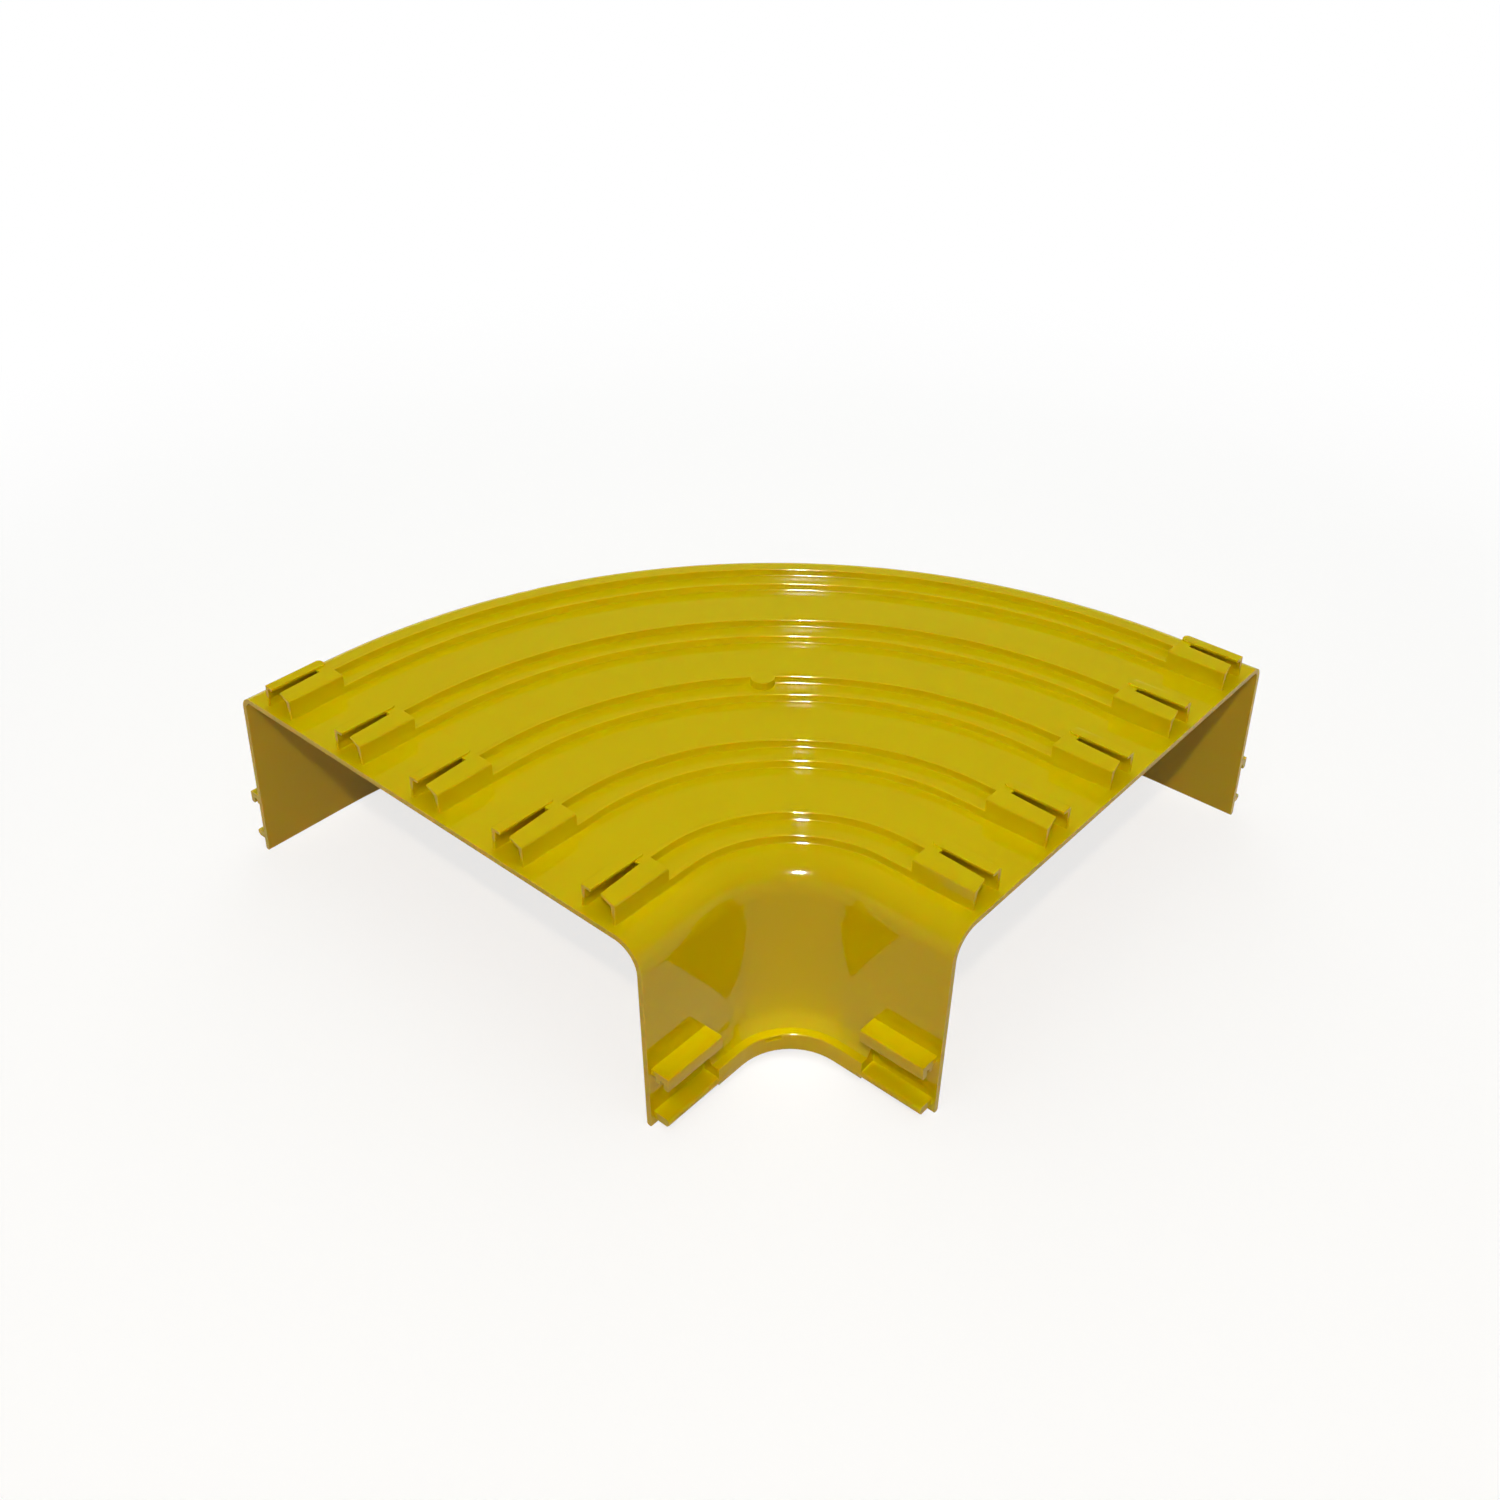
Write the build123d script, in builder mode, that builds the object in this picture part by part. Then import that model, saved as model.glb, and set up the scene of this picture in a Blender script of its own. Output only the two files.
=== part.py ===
"""Quarter-turn elbow of a fibre raceway, lying mouth down on its rims. Millimetres, Z up."""
import os
from math import cos, radians, sin

from build123d import *

os.makedirs("parts", exist_ok=True)

# Channel: a U standing on its two rims, floor on top
channel_width = 306.8
channel_height = 107.0
wall = 3.0
wall_lean = 3.8
inner_bend = 16.5
outer_bend = 8.0
rim_edge = 0.8

# Quarter turn, measured to the inner wall's outer face at the rim
turn_radius = 40.2
stub = 53.5

# Rows of joiner sockets on the floor, and the twin ridges that run between them
row_pitch = 60.0
row_margin = 17.0
ridge_height = 4.5
ridge_thick = 2.6
ridge_lead = 3.4
ridge_foot = 0.6

# Joiner socket on the floor: outer wall with a bar on top, inner wall with a wide lip, slot between
socket_width = 21.2
socket_length = 34.5
socket_inset = 4.0
socket_wall = 2.4
bar_height = 12.6
bar_width = 6.2
bar_thick = 1.8
bar_round = 2.6
lip_height = 11.6
lip_thick = 1.8
lip_edge = 1.0
lip_setback = 1.8
slot_length = 28.0
slot_front = 4.2
slot_back = 2.6
socket_back = 3.6
key_depth = 1.0
key_height = 3.0
step_depth = 0.7
step_height = 5.4
edge = 0.7
foot = 0.6
foot_land = 0.3

# Joiner socket on the side walls, near the rim
side_inset = 2.0
side_top = 35.5
side_plate = 3.6
side_hook = 7.5
side_hook_thick = 3.2
side_bead = 2.6
side_bead_drop = 2.8
side_bead_gap = 2.8
side_reach = 9.6
flange_low = 4.5
flange_thick = 4.5
flange_reach = 9.2

# Band round both walls above the rim, hollow from below
band_top = 14.5
band_reach = 9.0
band_flat = 4.4
band_slope = 9.5
band_skin = 2.8
mark_width = 8.0
mark_height = 2.4
mark_depth = 0.9
mark_turn = 12.0

# Gate disc on the middle row
gate_radius = 6.7
gate_height = 4.5

# Values that follow from the sizes above
middle = turn_radius + channel_width / 2
half = channel_width / 2
embed = wall / 2
outer_reach = middle + half + side_reach
shift = (outer_reach - stub) / 2
turn = (shift, -shift, 0)
side_length = socket_inset + socket_length - side_inset
band_from = socket_inset + socket_length - socket_back / 2
turn_axis = Axis(turn, (0, 0, -1))
diagonal = Plane(origin=turn, z_dir=(1, 1, 0))
section_plane = Plane(origin=turn, x_dir=(1, 0, 0), z_dir=(0, -1, 0))
rows_across = channel_width - 2 * wall_lean - socket_width - 2 * row_margin
row_count = 1 + int(rows_across / row_pitch)
row_faces = [
    middle + socket_width / 2 + (row - (row_count - 1) / 2) * row_pitch
    for row in range(row_count)
]


def face_at(height):
    """Distance of a wall's outer face from the channel's middle at one height."""
    return half - wall_lean * height / channel_height


# The inner bend stays clear of the innermost ridge
bend_room = row_faces[0] - socket_width - ridge_foot - middle + face_at(channel_height)
inner_round = min(inner_bend, 0.95 * bend_room)


def across(side, reach, height):
    """Section point on one side of the channel: side 1 is the outer wall, -1 the inner wall."""
    return (-(middle + side * reach), height)


def channel_section():
    """The plain U of the channel."""
    with BuildSketch() as section:
        with BuildLine():
            Polyline(
                across(-1, face_at(0), 0),
                across(-1, face_at(channel_height), channel_height),
                across(1, face_at(channel_height), channel_height),
                across(1, face_at(0), 0),
                across(1, face_at(0) - wall, 0),
                across(1, face_at(channel_height - wall) - wall, channel_height - wall),
                across(-1, face_at(channel_height - wall) - wall, channel_height - wall),
                across(-1, face_at(0) - wall, 0),
                close=True,
            )
        make_face()
        for side, bend in ((-1, inner_round), (1, outer_bend)):
            outside = across(side, face_at(channel_height), channel_height)
            fillet(section.vertices().sort_by_distance(outside)[0], bend)
        inner_corner = across(-1, face_at(channel_height - wall) - wall, channel_height - wall)
        fillet(section.vertices().sort_by_distance(inner_corner)[0], inner_round - wall)
        outer_corner = across(1, face_at(channel_height - wall) - wall, channel_height - wall)
        chamfer(section.vertices().sort_by_distance(outer_corner)[0], wall)
        chamfer(section.vertices().filter_by_position(Axis.Y, -0.1, 0.1), rim_edge)
    return section.sketch


def band_outline(side):
    """Outline of the band on one wall."""
    start = band_top + band_slope
    with BuildSketch() as outline:
        with BuildLine():
            Polyline(
                across(side, face_at(start) - embed, start),
                across(side, face_at(start), start),
                across(side, half + band_reach - band_flat, band_top),
                across(side, half + band_reach, band_top),
                across(side, half + band_reach, flange_low),
                across(side, face_at(flange_low) - embed, flange_low),
                close=True,
            )
        make_face()
        crown = across(side, half + band_reach, band_top)
        chamfer(outline.vertices().sort_by_distance(crown)[0], edge)
    return outline.sketch


def ribbed_section():
    """The U with the twin ridges on its floor and the band on both walls."""
    with BuildSketch() as section:
        add(channel_section())
        for face in row_faces:
            for start in (ridge_lead - ridge_thick, socket_width - ridge_thick):
                with Locations((-face + start + ridge_thick / 2, channel_height - embed)):
                    Rectangle(ridge_thick, ridge_height + embed, align=(Align.CENTER, Align.MIN))
        feet = []
        for face in row_faces:
            for start in (ridge_lead - ridge_thick, socket_width - ridge_thick):
                for corner in (start, start + ridge_thick):
                    at = (-face + corner, channel_height)
                    feet.append(section.vertices().sort_by_distance(at)[0])
        chamfer(feet, ridge_foot)
        for side in (-1, 1):
            add(band_outline(side))
            hollow = band_reach - band_skin
            with Locations(across(side, half + hollow / 2, flange_low)):
                Rectangle(
                    hollow,
                    band_top - flange_low - band_skin,
                    align=(Align.CENTER, Align.MIN),
                    mode=Mode.SUBTRACT,
                )
    return section.sketch


# One floor socket: X runs inward from its outer face, Y back from the duct's end
with BuildPart() as floor_socket:
    mouth = Plane(origin=(0, socket_inset, 0), x_dir=(1, 0, 0), z_dir=(0, -1, 0))
    lip_top = channel_height + lip_height
    with BuildSketch(mouth) as walls:
        with Locations((socket_width / 2, channel_height - embed)):
            Rectangle(socket_width + 2 * (foot + foot_land), embed, align=(Align.CENTER, Align.MIN))
        with Locations((0, channel_height - embed)):
            Rectangle(socket_wall, embed + bar_height - bar_thick, align=(Align.MIN, Align.MIN))
        with Locations((socket_width - socket_wall, channel_height - embed)):
            Rectangle(socket_wall, embed + lip_height, align=(Align.MIN, Align.MIN))
        with Locations((socket_width - socket_wall, channel_height)):
            Rectangle(key_depth, key_height, align=(Align.MIN, Align.MIN), mode=Mode.SUBTRACT)
        with Locations((socket_wall, channel_height)):
            Rectangle(step_depth, step_height, align=(Align.MAX, Align.MIN), mode=Mode.SUBTRACT)
        for corner in (0, socket_width):
            at = (corner, channel_height)
            chamfer(walls.vertices().sort_by_distance(at)[0], foot)
        chamfer(walls.vertices().sort_by_distance((socket_width, lip_top))[0], lip_edge)
    extrude(amount=-socket_length)
    # Back wall
    with BuildSketch(mouth.offset(socket_back - socket_length)):
        with Locations((socket_wall / 2, channel_height - embed)):
            Rectangle(
                socket_width - socket_wall / 2 - lip_edge,
                embed + lip_height,
                align=(Align.MIN, Align.MIN),
            )
    extrude(amount=-socket_back)
    # Lip with a skewed front, along a slot that narrows to its closed end
    with BuildSketch(Plane.XY.offset(lip_top - lip_thick)):
        back = socket_inset + socket_length
        slot_end = socket_inset + slot_length
        with BuildLine():
            Polyline(
                (socket_width - lip_edge, socket_inset),
                (socket_width - lip_edge, back),
                (socket_wall / 2, back),
                (socket_wall / 2, slot_end),
                (bar_width + slot_back, slot_end),
                (bar_width + slot_front, socket_inset + lip_setback),
                (socket_width - socket_wall, socket_inset),
                close=True,
            )
        make_face()
    extrude(amount=lip_thick)
    # Bar with a round back end along the outer wall
    with BuildSketch(Plane.XY.offset(channel_height + bar_height - bar_thick)) as bar:
        with Locations((0, socket_inset)):
            Rectangle(bar_width, socket_length, align=(Align.MIN, Align.MIN))
        ends = bar.vertices().group_by(Axis.Y)[-1]
        fillet(ends, bar_round)
    extrude(amount=bar_thick)

# Straight stub at one end, with all its sockets
with BuildPart() as stub_end:
    with BuildSketch(section_plane.offset(stub)):
        add(channel_section())
    extrude(amount=-stub)
    with BuildSketch(section_plane.offset(stub - band_from)):
        add(ribbed_section())
    extrude(amount=band_from - stub)
    with BuildSketch(section_plane.offset(stub - band_from)):
        for side in (-1, 1):
            add(band_outline(side))
    extrude(amount=-band_skin)
    for face in row_faces:
        with Locations((turn[0] - face, turn[1] - stub, 0)):
            add(floor_socket.part)
    side_mouth = section_plane.offset(stub - side_inset)
    hook_foot = side_top - side_hook
    plate_foot = side_top - side_plate
    bead_foot = plate_foot - side_bead_drop
    for side in (-1, 1):
        root = face_at(side_top) - embed
        tip = half + side_reach
        bead = face_at(side_top) + side_bead_gap
        with BuildSketch(side_mouth) as hooked_plate:
            with BuildLine():
                Polyline(
                    across(side, root, side_top),
                    across(side, tip, side_top),
                    across(side, tip, hook_foot),
                    across(side, tip - side_hook_thick, hook_foot),
                    across(side, tip - side_hook_thick, plate_foot),
                    across(side, bead + side_bead, plate_foot),
                    across(side, bead + side_bead, bead_foot),
                    across(side, bead, bead_foot),
                    across(side, bead, plate_foot),
                    across(side, root, plate_foot),
                    close=True,
                )
            make_face()
            bevelled = [
                across(side, tip, side_top),
                across(side, tip, hook_foot),
                across(side, tip - side_hook_thick, hook_foot),
                across(side, bead + side_bead, bead_foot),
                across(side, bead, bead_foot),
            ]
            chamfer([hooked_plate.vertices().sort_by_distance(at)[0] for at in bevelled], edge)
        extrude(amount=-side_length)
        flange_tip = half + flange_reach
        with BuildSketch(side_mouth) as flange:
            with BuildLine():
                Polyline(
                    across(side, root, flange_low),
                    across(side, flange_tip, flange_low),
                    across(side, flange_tip, flange_low + flange_thick),
                    across(side, root, flange_low + flange_thick),
                    close=True,
                )
            make_face()
            corners = [
                across(side, flange_tip, flange_low),
                across(side, flange_tip, flange_low + flange_thick),
            ]
            chamfer([flange.vertices().sort_by_distance(at)[0] for at in corners], 2 * edge)
        extrude(amount=-side_length)

# The elbow: quarter turn between two mirrored ends
with BuildPart() as raceway_elbow:
    with BuildSketch(section_plane):
        add(ribbed_section())
    revolve(axis=turn_axis, revolution_arc=90)
    add(stub_end.part)
    mirror(stub_end.part, about=diagonal)
    gate_at = row_faces[row_count // 2] - ridge_lead
    gate_x = turn[0] - gate_at * cos(radians(45))
    gate_y = turn[1] + gate_at * sin(radians(45))
    with Locations((gate_x, gate_y, channel_height - embed)):
        Cylinder(gate_radius, gate_height + embed, align=(Align.CENTER, Align.CENTER, Align.MIN))
    # Moulding mark sunk in the face of the inner band
    mark_at = turn_radius - band_reach
    mark_angle = 135 + mark_turn
    mark_x = turn[0] + mark_at * cos(radians(mark_angle))
    mark_y = turn[1] + mark_at * sin(radians(mark_angle))
    with Locations(Location((mark_x, mark_y, band_top - edge), (0, 0, mark_angle))):
        Box(
            2 * mark_depth,
            mark_width,
            mark_height,
            align=(Align.CENTER, Align.CENTER, Align.MAX),
            mode=Mode.SUBTRACT,
        )

raceway_elbow.part.label = "raceway_elbow"
export_step(raceway_elbow.part, "parts/raceway_elbow.step")
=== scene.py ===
"""Looks of a yellow raceway elbow: moulded plastic, a pale floor, soft light and a camera."""

from math import cos, radians, sin

import bmesh
import bpy
from bpy.props import FloatProperty, FloatVectorProperty, PointerProperty
from mathutils import Matrix, Vector


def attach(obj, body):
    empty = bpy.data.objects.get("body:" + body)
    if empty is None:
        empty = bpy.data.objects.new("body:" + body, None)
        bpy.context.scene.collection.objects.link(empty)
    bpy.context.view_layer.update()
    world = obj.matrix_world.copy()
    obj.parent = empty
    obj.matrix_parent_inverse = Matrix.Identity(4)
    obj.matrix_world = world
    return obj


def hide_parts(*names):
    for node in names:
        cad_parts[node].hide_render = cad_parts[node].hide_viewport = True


bl_info = {
    "name": "Raceway elbow",
    "version": (1, 0, 0),
    "blender": (4, 5, 0),
    "location": "View3D > Sidebar > Raceway",
    "description": "Finishes and lights a moulded raceway elbow",
    "category": "Object",
}

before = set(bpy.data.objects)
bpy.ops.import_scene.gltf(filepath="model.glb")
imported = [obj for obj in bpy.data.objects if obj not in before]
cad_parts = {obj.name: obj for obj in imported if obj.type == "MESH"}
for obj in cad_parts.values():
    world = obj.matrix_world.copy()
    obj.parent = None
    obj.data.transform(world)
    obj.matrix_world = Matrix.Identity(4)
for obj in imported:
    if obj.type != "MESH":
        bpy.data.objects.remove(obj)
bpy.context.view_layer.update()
MM = 0.001

# Height of the duct's floor above its rims, in millimetres
FLOOR_TOP = 107.0

# Gap between the rims and the pale floor, in millimetres
FLOOR_DROP = 0.1

# Clean-up and rounding of the frame's mesh, with lengths in millimetres
MERGE_DISTANCE = 0.01
FLOOR_CLEARANCE = 0.2
FLAT_ANGLE = radians(0.2)
SHARP_ANGLE = radians(60)
CREASE_ANGLE = radians(52)
BEVEL_SEGMENTS = 2
FACE_WEIGHT = 90

# Skin of the plastic, with lengths in millimetres
DRIFT_SIZE = 70.0
WAVE_HEIGHT = 0.15
WAVE_STRENGTH = 0.2
GRAIN_HEIGHT = 0.03
GRAIN_STRENGTH = 0.1
GLOSS_SPREAD = 0.02

# Point that the lamps are aimed at, and their places and sizes, in metres
LIT_POINT = (0.0, 0.0, 0.08)
OVERHEAD_PLACE = (-0.25, 0.15, 1.7)
OVERHEAD_SIZE = 1.8
FRONT_PLACE = (0.8, -1.05, 1.55)
FRONT_SIZE = 0.08
FILL_PLACE = (0.9, -1.07, 0.98)
FILL_SIZE = 0.3
BACK_PLACE = (-1.0, 1.1, 0.9)
BACK_SIZE = 1.0
GLINT_PLACE = (0.75, -0.87, 1.15)
GLINT_SIZE = 0.1

# Sines of the angles above the horizon between which the white backdrop fades
FADE_START = 0.25
FADE_END = 0.55

# Width of the camera's sensor, in millimetres
SENSOR_WIDTH = 36.0


def linear(code):
    """Turn an sRGB hex colour into linear red, green and blue."""
    parts = [int(code[at:at + 2], 16) / 255 for at in (0, 2, 4)]
    return tuple(p / 12.92 if p <= 0.04045 else ((p + 0.055) / 1.055) ** 2.4 for p in parts)


def add_node(tree, kind, settings=None, inputs=None, links=None):
    """Add a node, set its settings and input values, and link other nodes' outputs to its inputs."""
    node = tree.nodes.new(kind)
    for name, value in (settings or {}).items():
        setattr(node, name, value)
    for name, value in (inputs or {}).items():
        node.inputs[name].default_value = value
    for name, output in (links or {}).items():
        tree.links.new(output, node.inputs[name])
    return node


class RacewayPlastic(bpy.types.PropertyGroup):
    """Colour and surface of the moulded plastic."""

    colour: FloatVectorProperty(
        name="Colour",
        description="Colour of the plastic",
        subtype="COLOR",
        min=0.0,
        max=1.0,
        default=linear("C5B400"),
    )
    warm_colour: FloatVectorProperty(
        name="Warm patches",
        description="Colour that the melt drifts to in broad faint patches",
        subtype="COLOR",
        min=0.0,
        max=1.0,
        default=linear("C3AD00"),
    )
    roughness: FloatProperty(
        name="Roughness",
        description="Gloss of the mould's polish: lower is shinier",
        subtype="FACTOR",
        min=0.03,
        max=1.0,
        default=0.06,
    )
    specular: FloatProperty(
        name="Reflection",
        description="Strength of the skin's mirror reflections: 0.5 is a plain plastic",
        subtype="FACTOR",
        min=0.0,
        max=1.0,
        default=0.12,
    )
    edge_round: FloatProperty(
        name="Edge rounding",
        description="Rounding of the sharp edges of ridges and sockets, in millimetres",
        min=0.05,
        max=0.6,
        default=0.4,
    )
    depth_share: FloatProperty(
        name="Light let in",
        description="Share of the light that goes into the plastic before it comes back",
        subtype="FACTOR",
        min=0.0,
        max=1.0,
        default=0.5,
    )
    light_depth: FloatProperty(
        name="Light depth",
        description="How far red light travels in the plastic, in millimetres",
        min=0.1,
        max=10.0,
        default=4.0,
    )
    ripple: FloatProperty(
        name="Ripple",
        description="Spacing of the shallow waves in the moulded skin, in millimetres",
        min=2.0,
        max=60.0,
        default=14.0,
    )
    grain: FloatProperty(
        name="Grain",
        description="Spacing of the fine grain left by the mould, in millimetres",
        min=0.3,
        max=5.0,
        default=1.1,
    )


class RacewayStudio(bpy.types.PropertyGroup):
    """Floor, lights and camera."""

    floor_colour: FloatVectorProperty(
        name="Floor",
        description="Colour of the pale floor",
        subtype="COLOR",
        min=0.0,
        max=1.0,
        default=linear("F6F8FE"),
    )
    bounce_colour: FloatVectorProperty(
        name="Bounce",
        description="Colour of the light that the floor throws back at the object",
        subtype="COLOR",
        min=0.0,
        max=1.0,
        default=linear("CCAE84"),
    )
    floor_size: FloatProperty(
        name="Floor size",
        description="Side of the square floor",
        unit="LENGTH",
        min=1.0,
        default=60.0,
    )
    shadow_reach: FloatProperty(
        name="Shadow reach",
        description="Distance from the middle up to which the floor takes the object's shadow",
        unit="LENGTH",
        min=0.3,
        default=0.5,
    )
    glow: FloatProperty(
        name="Floor glow",
        description="Share of plain white in the floor round the object, which lightens its shadow",
        subtype="FACTOR",
        min=0.0,
        max=1.0,
        default=0.75,
    )
    top_power: FloatProperty(
        name="Overhead power",
        description="Power of the large overhead light",
        unit="POWER",
        min=0.0,
        default=7.0,
    )
    top_colour: FloatVectorProperty(
        name="Overhead colour",
        description="Colour of the large overhead light",
        subtype="COLOR",
        min=0.0,
        max=1.0,
        default=linear("EEFFE4"),
    )
    front_power: FloatProperty(
        name="Front power",
        description="Power of the high light in front",
        unit="POWER",
        min=0.0,
        default=13.5,
    )
    front_colour: FloatVectorProperty(
        name="Front colour",
        description="Colour of the high light in front",
        subtype="COLOR",
        min=0.0,
        max=1.0,
        default=linear("FFE8C6"),
    )
    fill_power: FloatProperty(
        name="Fill power",
        description="Power of the warm light behind the camera, which reaches into the slots",
        unit="POWER",
        min=0.0,
        default=1.2,
    )
    fill_colour: FloatVectorProperty(
        name="Fill colour",
        description="Colour of the light behind the camera",
        subtype="COLOR",
        min=0.0,
        max=1.0,
        default=linear("FFD29A"),
    )
    back_power: FloatProperty(
        name="Back power",
        description="Power of the broad light behind the object",
        unit="POWER",
        min=0.0,
        default=7.0,
    )
    glint_power: FloatProperty(
        name="Glint power",
        description="Power of the small light that puts glints on the rounded feet of the ridges",
        unit="POWER",
        min=0.0,
        default=420.0,
    )
    zenith: FloatProperty(
        name="Surroundings above",
        description="Strength of the soft light from straight above",
        min=0.0,
        default=0.55,
    )
    horizon: FloatProperty(
        name="Surroundings around",
        description="Strength of the soft light from all round",
        min=0.0,
        default=0.19,
    )
    eye: FloatVectorProperty(
        name="Eye",
        description="Place of the camera",
        subtype="TRANSLATION",
        unit="LENGTH",
        default=(0.47638, -0.56387, 0.58066),
    )
    azimuth: FloatProperty(
        name="Azimuth",
        description="Turn of the view about the vertical",
        subtype="ANGLE",
        default=radians(-40.67),
    )
    elevation: FloatProperty(
        name="Elevation",
        description="Angle at which the camera looks down",
        subtype="ANGLE",
        default=radians(31.24),
    )
    roll: FloatProperty(
        name="Roll",
        description="Turn of the picture about the line of sight",
        subtype="ANGLE",
        default=radians(0.65),
    )
    lens: FloatProperty(
        name="Lens",
        description="Focal length for a sensor 36 mm wide",
        unit="CAMERA",
        min=10.0,
        default=38.01,
    )
    shift: FloatProperty(
        name="Shift",
        description="Upward shift of the picture, as a share of its width",
        default=-0.08,
    )


def moulded_yellow_abs(plastic):
    """Injection-moulded ABS, pigmented through: an even colour, a clear gloss and a slightly wavy skin."""
    material = bpy.data.materials.new("moulded_yellow_abs")
    material.use_nodes = True
    tree = material.node_tree
    tree.nodes.clear()
    place = add_node(tree, "ShaderNodeTexCoord").outputs["Object"]
    # Broad patches where the pigment drifts
    drift = add_node(
        tree,
        "ShaderNodeTexNoise",
        inputs={"Scale": 1 / (DRIFT_SIZE * MM), "Detail": 3.0, "Roughness": 0.55},
        links={"Vector": place},
    )
    tint = add_node(
        tree,
        "ShaderNodeMix",
        settings={"data_type": "RGBA"},
        inputs={"A": (*plastic.colour, 1.0), "B": (*plastic.warm_colour, 1.0)},
        links={"Factor": drift.outputs["Fac"]},
    )
    # Fine grain of the mould, drawn a little coarser than life so that it shows
    grain = add_node(
        tree,
        "ShaderNodeTexNoise",
        inputs={"Scale": 1 / (plastic.grain * MM), "Detail": 2.0, "Roughness": 0.5},
        links={"Vector": place},
    )
    gloss = add_node(
        tree,
        "ShaderNodeMapRange",
        inputs={
            "From Min": 0.3,
            "From Max": 0.7,
            "To Min": plastic.roughness - GLOSS_SPREAD,
            "To Max": plastic.roughness + GLOSS_SPREAD,
        },
        links={"Value": drift.outputs["Fac"]},
    )
    # Shallow waves of the cooled skin, which break up the glints
    ripple = add_node(
        tree,
        "ShaderNodeTexNoise",
        inputs={"Scale": 1 / (plastic.ripple * MM), "Detail": 2.0, "Roughness": 0.4},
        links={"Vector": place},
    )
    waves = add_node(
        tree,
        "ShaderNodeBump",
        inputs={"Strength": WAVE_STRENGTH, "Distance": WAVE_HEIGHT * MM},
        links={"Height": ripple.outputs["Fac"]},
    )
    skin = add_node(
        tree,
        "ShaderNodeBump",
        inputs={"Strength": GRAIN_STRENGTH, "Distance": GRAIN_HEIGHT * MM},
        links={"Height": grain.outputs["Fac"], "Normal": waves.outputs["Normal"]},
    )
    body = add_node(
        tree,
        "ShaderNodeBsdfPrincipled",
        inputs={
            "IOR": 1.53,
            "Specular IOR Level": plastic.specular,
            "Subsurface Weight": plastic.depth_share,
            "Subsurface Radius": (1.0, 0.4, 0.05),
            "Subsurface Scale": plastic.light_depth * MM,
        },
        links={
            "Base Color": tint.outputs["Result"],
            "Roughness": gloss.outputs["Result"],
            "Normal": skin.outputs["Normal"],
        },
    )
    add_node(tree, "ShaderNodeOutputMaterial", links={"Surface": body.outputs["BSDF"]})
    return material


def seen_rays(tree):
    """Output that is 1 where the camera or a reflection looks, and 0 where light spreads."""
    ray = add_node(tree, "ShaderNodeLightPath").outputs
    reflected = add_node(
        tree,
        "ShaderNodeMath",
        {"operation": "MAXIMUM"},
        links={0: ray["Is Glossy Ray"], 1: ray["Is Transmission Ray"]},
    )
    seen = add_node(
        tree,
        "ShaderNodeMath",
        {"operation": "MAXIMUM"},
        links={0: ray["Is Camera Ray"], 1: reflected.outputs["Value"]},
    )
    return seen.outputs["Value"]


def pale_floor(studio):
    """Matt painted board: pale, even and without gloss."""
    material = bpy.data.materials.new("matt_painted_board")
    material.use_nodes = True
    tree = material.node_tree
    tree.nodes.clear()
    # Warm where light bounces back to the object, pale where it is looked at
    seen = seen_rays(tree)
    paint = add_node(
        tree,
        "ShaderNodeMix",
        {"data_type": "RGBA"},
        {"A": (*studio.bounce_colour, 1.0), "B": (*studio.floor_colour, 1.0)},
        {"Factor": seen},
    )
    board = add_node(
        tree,
        "ShaderNodeBsdfDiffuse",
        inputs={"Roughness": 0.4},
        links={"Color": paint.outputs["Result"]},
    )
    white = add_node(tree, "ShaderNodeEmission", inputs={"Strength": 1.0})
    # Plain white beyond the object's shadow, for the camera and for reflections
    place = add_node(tree, "ShaderNodeTexCoord").outputs["Object"]
    away = add_node(tree, "ShaderNodeVectorMath", {"operation": "LENGTH"}, links={"Vector": place})
    beyond = add_node(
        tree,
        "ShaderNodeMapRange",
        {"interpolation_type": "SMOOTHSTEP"},
        {"From Min": studio.shadow_reach, "From Max": 2 * studio.shadow_reach, "To Min": studio.glow},
        {"Value": away.outputs["Value"]},
    )
    share = add_node(
        tree,
        "ShaderNodeMath",
        {"operation": "MULTIPLY"},
        links={0: seen, 1: beyond.outputs["Result"]},
    )
    surface = add_node(
        tree,
        "ShaderNodeMixShader",
        links={0: share.outputs["Value"], 1: board.outputs["BSDF"], 2: white.outputs["Emission"]},
    )
    add_node(tree, "ShaderNodeOutputMaterial", links={"Surface": surface.outputs["Shader"]})
    return material


def soft_light(name, place, size, power, colour=(1.0, 1.0, 1.0)):
    """Hang a square soft light that points at the object."""
    data = bpy.data.lights.new(name, "AREA")
    data.size = size
    data.energy = power
    data.color = colour
    lamp = bpy.data.objects.new(name, data)
    lamp.location = place
    lamp.rotation_euler = (Vector(LIT_POINT) - Vector(place)).to_track_quat("-Z", "Y").to_euler()
    bpy.context.scene.collection.objects.link(lamp)
    return lamp


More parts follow.
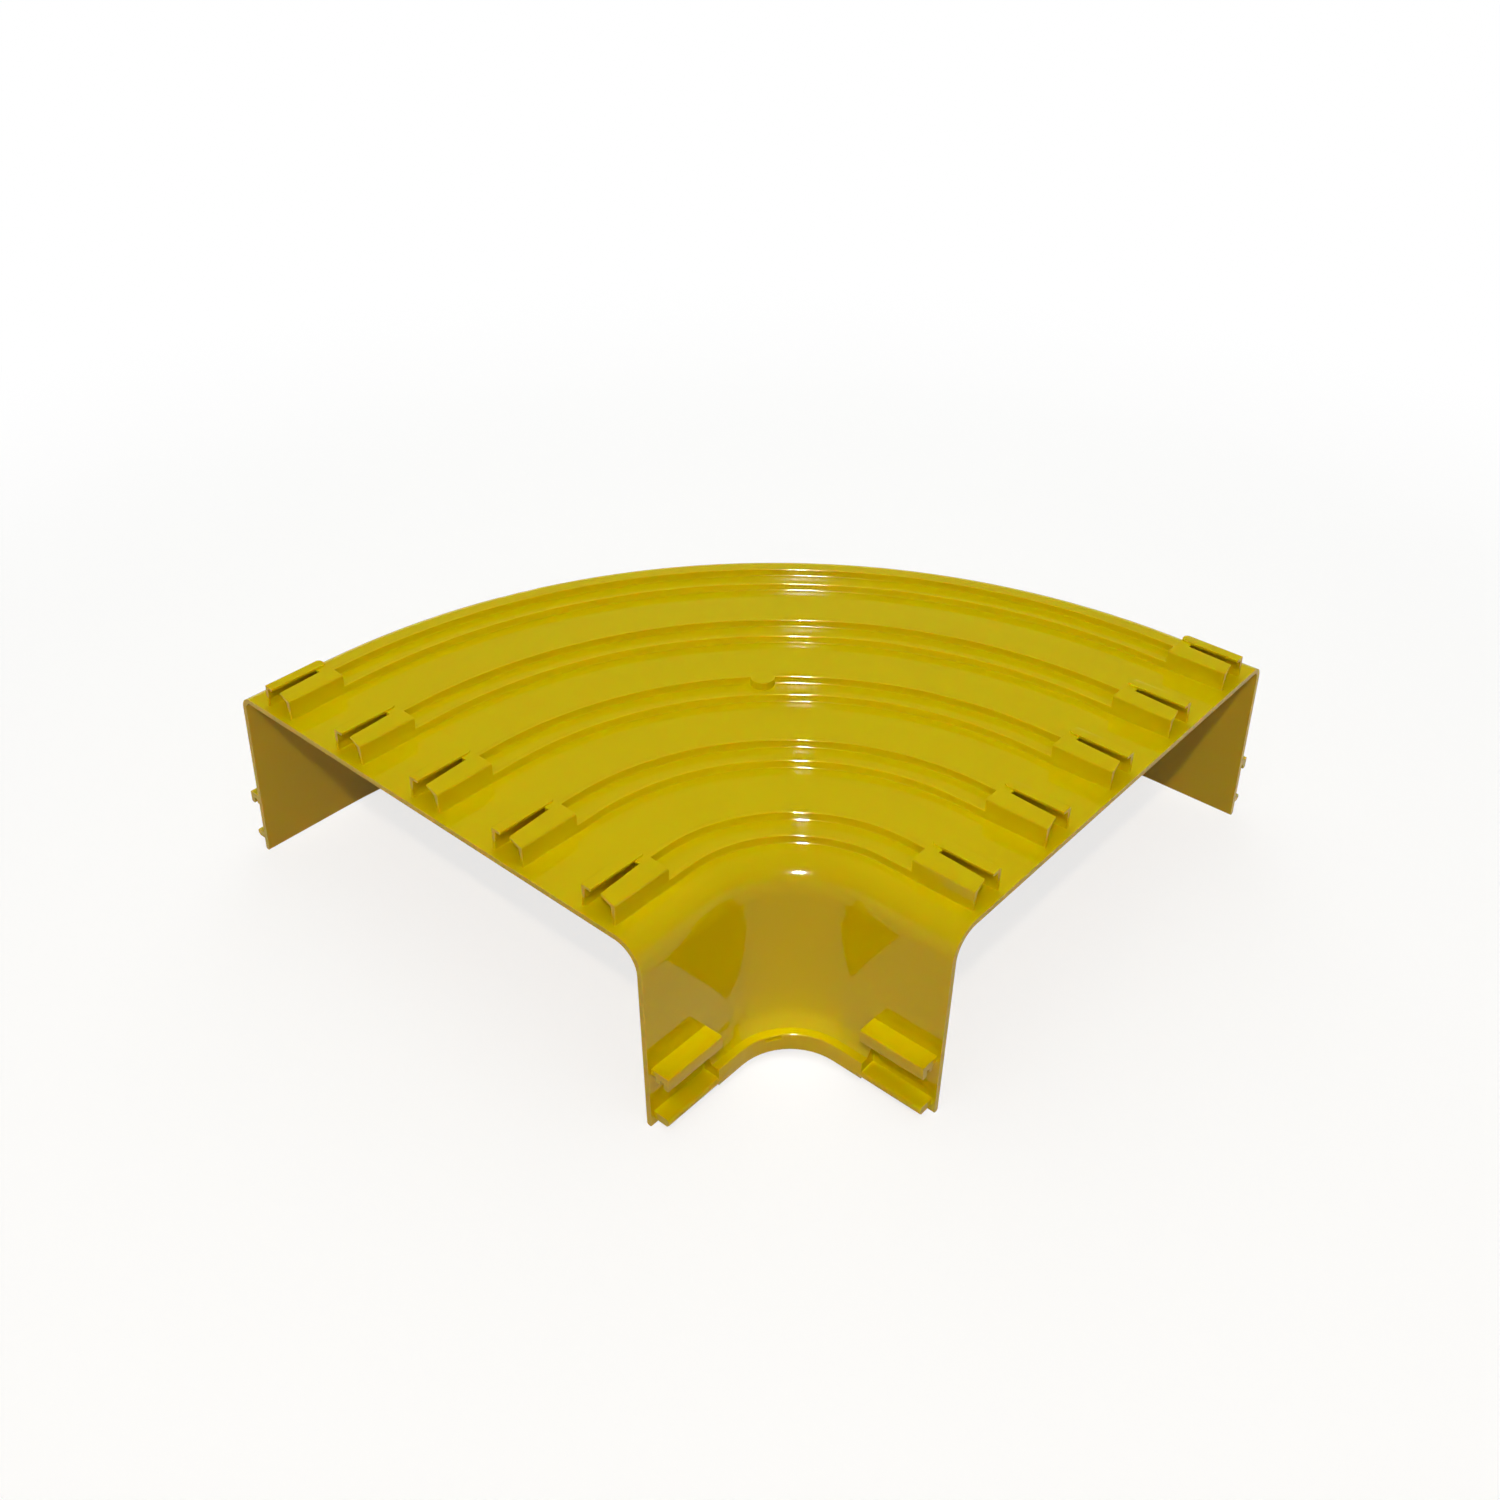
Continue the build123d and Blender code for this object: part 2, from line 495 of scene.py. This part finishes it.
class RACEWAY_OT_elbow(bpy.types.Operator):
    """Round the moulded elbow's edges and give it its plastic finish"""

    bl_idname = "raceway.elbow"
    bl_label = "Finish the elbow"

    def execute(self, context):
        plastic = context.scene.raceway_plastic
        mesh = self.rounded_mesh(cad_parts["raceway_elbow"].data, plastic.edge_round * MM)
        mesh.materials.append(moulded_yellow_abs(plastic))
        elbow = bpy.data.objects.new("moulded_elbow", mesh)
        context.scene.collection.objects.link(elbow)
        # Flat faces stay flat and the narrow bevels between them shade as round edges
        shading = elbow.modifiers.new("round_edges", "WEIGHTED_NORMAL")
        shading.keep_sharp = True
        shading.weight = FACE_WEIGHT
        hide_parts("raceway_elbow")
        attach(elbow, "root")
        return {"FINISHED"}

    def rounded_mesh(self, source, width):
        """Join the frame's loose triangles into whole faces and bevel what stands on the duct's floor."""
        shape = bmesh.new()
        shape.from_mesh(source)
        bmesh.ops.remove_doubles(shape, verts=shape.verts, dist=MERGE_DISTANCE * MM)
        bmesh.ops.dissolve_limit(
            shape,
            angle_limit=FLAT_ANGLE,
            verts=shape.verts,
            edges=shape.edges,
        )
        floor_top = (FLOOR_TOP + FLOOR_CLEARANCE) * MM
        sharp = [
            edge for edge in shape.edges
            if edge.is_convex
            and edge.calc_face_angle() > SHARP_ANGLE
            and edge.calc_length() > 2 * width
            and min(vert.co.z for vert in edge.verts) > floor_top
        ]
        bmesh.ops.bevel(
            shape,
            geom=sharp,
            offset=width,
            affect="EDGES",
            segments=BEVEL_SEGMENTS,
            profile=0.5,
            material=-1,
        )
        for face in shape.faces:
            face.smooth = True
        for edge in shape.edges:
            edge.smooth = edge.calc_face_angle(0.0) < CREASE_ANGLE
        mesh = bpy.data.meshes.new("moulded_elbow")
        shape.to_mesh(mesh)
        shape.free()
        return mesh


class RACEWAY_OT_stage(bpy.types.Operator):
    """Lay the floor, hang the lights and set up the camera"""

    bl_idname = "raceway.stage"
    bl_label = "Set the stage"

    def execute(self, context):
        studio = context.scene.raceway_studio
        self.lay_floor(context, studio)
        self.hang_lights(studio)
        self.set_surroundings(context, studio)
        self.set_camera(context, studio)
        context.scene.view_settings.view_transform = "Standard"
        return {"FINISHED"}

    def lay_floor(self, context, studio):
        mesh = bpy.data.meshes.new("floor")
        shape = bmesh.new()
        bmesh.ops.create_grid(shape, x_segments=1, y_segments=1, size=studio.floor_size / 2)
        bmesh.ops.translate(shape, verts=shape.verts, vec=(0, 0, -FLOOR_DROP * MM))
        shape.to_mesh(mesh)
        shape.free()
        mesh.materials.append(pale_floor(studio))
        floor = bpy.data.objects.new("floor", mesh)
        context.scene.collection.objects.link(floor)

    def hang_lights(self, studio):
        overhead = soft_light(
            "overhead", OVERHEAD_PLACE, OVERHEAD_SIZE, studio.top_power, studio.top_colour
        )
        front = soft_light("front", FRONT_PLACE, FRONT_SIZE, studio.front_power, studio.front_colour)
        fill = soft_light("fill", FILL_PLACE, FILL_SIZE, studio.fill_power, studio.fill_colour)
        back = soft_light("back", BACK_PLACE, BACK_SIZE, studio.back_power)
        # These four only light the surface, and the small lamp only glints
        for lamp in (overhead, front, fill, back):
            lamp.visible_glossy = False
        glint = soft_light("glint", GLINT_PLACE, GLINT_SIZE, studio.glint_power)
        glint.visible_diffuse = False

    def set_surroundings(self, context, studio):
        world = bpy.data.worlds.new("soft_surroundings")
        world.use_nodes = True
        tree = world.node_tree
        tree.nodes.clear()
        direction = add_node(tree, "ShaderNodeTexCoord").outputs["Generated"]
        height = add_node(tree, "ShaderNodeSeparateXYZ", links={"Vector": direction})
        light = add_node(
            tree,
            "ShaderNodeMapRange",
            inputs={"To Min": studio.horizon, "To Max": studio.zenith},
            links={"Value": height.outputs["Z"]},
        )
        # White where the backdrop meets the floor, darker towards the top of the room
        backdrop = add_node(
            tree,
            "ShaderNodeMapRange",
            {"interpolation_type": "SMOOTHSTEP"},
            {"From Min": FADE_START, "From Max": FADE_END, "To Min": 1.0, "To Max": studio.horizon},
            {"Value": height.outputs["Z"]},
        )
        strength = add_node(
            tree,
            "ShaderNodeMix",
            links={
                "Factor": seen_rays(tree),
                "A": light.outputs["Result"],
                "B": backdrop.outputs["Result"],
            },
        )
        glow = add_node(
            tree,
            "ShaderNodeBackground",
            inputs={"Color": (1.0, 1.0, 1.0, 1.0)},
            links={"Strength": strength.outputs["Result"]},
        )
        add_node(tree, "ShaderNodeOutputWorld", links={"Surface": glow.outputs["Background"]})
        context.scene.world = world

    def set_camera(self, context, studio):
        level = cos(studio.elevation)
        sight = Vector((level * sin(studio.azimuth), level * cos(studio.azimuth), -sin(studio.elevation)))
        right = Vector((cos(studio.azimuth), -sin(studio.azimuth), 0.0))
        up = right.cross(sight)
        across = right * cos(studio.roll) + up * sin(studio.roll)
        upward = up * cos(studio.roll) - right * sin(studio.roll)
        data = bpy.data.cameras.new("camera")
        data.sensor_width = SENSOR_WIDTH
        data.lens = studio.lens
        data.shift_y = studio.shift
        data.clip_start = 0.01
        camera = bpy.data.objects.new("camera", data)
        turned = Matrix((across, upward, -sight)).transposed()
        camera.matrix_world = Matrix.Translation(studio.eye) @ turned.to_4x4()
        context.scene.collection.objects.link(camera)
        context.scene.camera = camera


class RACEWAY_PT_panel(bpy.types.Panel):
    """Sizes, colours and steps of the raceway elbow"""

    bl_idname = "RACEWAY_PT_panel"
    bl_label = "Raceway elbow"
    bl_space_type = "VIEW_3D"
    bl_region_type = "UI"
    bl_category = "Raceway"

    def draw(self, context):
        for group in (context.scene.raceway_plastic, context.scene.raceway_studio):
            column = self.layout.column()
            for name in group.bl_rna.properties.keys():
                if name not in ("rna_type", "name"):
                    column.prop(group, name)
        for operator in (RACEWAY_OT_elbow, RACEWAY_OT_stage):
            self.layout.operator(operator.bl_idname)


CLASSES = (
    RacewayPlastic,
    RacewayStudio,
    RACEWAY_OT_elbow,
    RACEWAY_OT_stage,
    RACEWAY_PT_panel,
)


def register():
    """Make the classes and settings known to Blender."""
    for item in CLASSES:
        bpy.utils.register_class(item)
    bpy.types.Scene.raceway_plastic = PointerProperty(type=RacewayPlastic)
    bpy.types.Scene.raceway_studio = PointerProperty(type=RacewayStudio)


def unregister():
    """Take the classes and settings out again."""
    del bpy.types.Scene.raceway_studio
    del bpy.types.Scene.raceway_plastic
    for item in reversed(CLASSES):
        bpy.utils.unregister_class(item)


def main():
    """Dress the elbow and set the stage."""
    register()
    bpy.ops.raceway.elbow()
    bpy.ops.raceway.stage()


if __name__ == "__main__":
    main()
